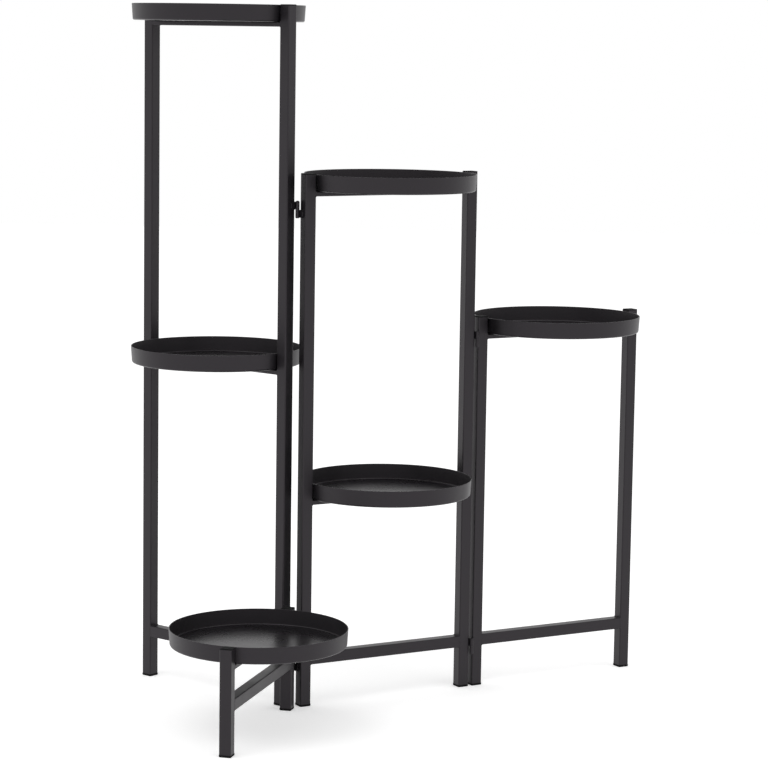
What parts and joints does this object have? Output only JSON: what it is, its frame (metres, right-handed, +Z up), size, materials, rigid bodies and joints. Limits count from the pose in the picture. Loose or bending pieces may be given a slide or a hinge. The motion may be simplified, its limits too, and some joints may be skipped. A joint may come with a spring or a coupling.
{
  "type": "tiered plant stand",
  "caption": "Folding plant stand: flat square-tube frames of stepped height hinged leg to leg, carrying round rimmed trays one above another.",
  "frame": {"origin": "on the floor, under the middle of the open stand as the picture shows it", "axes": "+Z up, -Y towards the front as pictured, +X to the right"},
  "size_m": [0.7166, 0.5984, 0.9566],
  "materials": {
    "coated_tube_steel": "satin black powder coat on welded square steel tube",
    "coated_sheet_steel": "satin black powder coat on pressed sheet steel",
    "hinge_steel": "satin black coated hinge knuckles and pins",
    "black_plastic": "black moulded plastic end plugs and feet"
  },
  "bodies": {
    "tall_frame": {"tall_left_leg": "coated_tube_steel", "tall_left_end_plug": "black_plastic", "tall_left_foot": "black_plastic", "tall_right_leg": "coated_tube_steel", "tall_right_end_plug": "black_plastic", "tall_right_foot": "black_plastic", "tall_cross_tube": "coated_tube_steel", "tall_upper_tray_bar": "coated_tube_steel", "tall_upper_tray": "coated_sheet_steel", "tall_lower_tray_bar": "coated_tube_steel", "tall_lower_tray": "coated_sheet_steel", "tall_middle_upper_hinge_top_leaf": "hinge_steel", "tall_middle_lower_hinge_top_leaf": "hinge_steel", "tall_low_upper_hinge_top_leaf": "hinge_steel", "tall_low_lower_hinge_top_leaf": "hinge_steel"},
    "middle_frame": {"middle_left_leg": "coated_tube_steel", "middle_left_end_plug": "black_plastic", "middle_left_foot": "black_plastic", "middle_right_leg": "coated_tube_steel", "middle_right_end_plug": "black_plastic", "middle_right_foot": "black_plastic", "middle_cross_tube": "coated_tube_steel", "middle_upper_tray_bar": "coated_tube_steel", "middle_upper_tray": "coated_sheet_steel", "middle_lower_tray_bar": "coated_tube_steel", "middle_lower_tray": "coated_sheet_steel", "tall_middle_upper_hinge_bottom_leaf": "hinge_steel", "tall_middle_upper_hinge_pin": "hinge_steel", "tall_middle_lower_hinge_bottom_leaf": "hinge_steel", "tall_middle_lower_hinge_pin": "hinge_steel", "middle_short_upper_hinge_top_leaf": "hinge_steel", "middle_short_lower_hinge_top_leaf": "hinge_steel"},
    "short_frame": {"short_left_leg": "coated_tube_steel", "short_left_end_plug": "black_plastic", "short_left_foot": "black_plastic", "short_right_leg": "coated_tube_steel", "short_right_end_plug": "black_plastic", "short_right_foot": "black_plastic", "short_cross_tube": "coated_tube_steel", "short_tray_bar": "coated_tube_steel", "short_tray": "coated_sheet_steel", "middle_short_upper_hinge_bottom_leaf": "hinge_steel", "middle_short_upper_hinge_pin": "hinge_steel", "middle_short_lower_hinge_bottom_leaf": "hinge_steel", "middle_short_lower_hinge_pin": "hinge_steel"},
    "low_frame": {"low_rear_leg": "coated_tube_steel", "low_rear_end_plug": "black_plastic", "low_rear_foot": "black_plastic", "low_front_leg": "coated_tube_steel", "low_front_end_plug": "black_plastic", "low_front_foot": "black_plastic", "low_cross_tube": "coated_tube_steel", "low_tray_bar": "coated_tube_steel", "low_tray": "coated_sheet_steel", "tall_low_upper_hinge_bottom_leaf": "hinge_steel", "tall_low_upper_hinge_pin": "hinge_steel", "tall_low_lower_hinge_bottom_leaf": "hinge_steel", "tall_low_lower_hinge_pin": "hinge_steel"}
  },
  "joints": [
    {"name": "middle_frame_fold", "type": "hinge", "parent": "tall_frame", "child": "middle_frame", "pos_m": [-0.12739, -0.0171, 0], "axis": [0, 0, 1], "range_deg": [-13.6, 110.4]},
    {"name": "short_frame_fold", "type": "hinge", "parent": "middle_frame", "child": "short_frame", "pos_m": [0.12219, 0.10334, 0], "axis": [0, 0, -1], "range_deg": [-15, 180]},
    {"name": "low_frame_fold", "type": "hinge", "parent": "tall_frame", "child": "low_frame", "pos_m": [-0.13922, -0.03119, 0], "axis": [0, 0, -1], "range_deg": [-5.7, 112.3]}
  ]
}
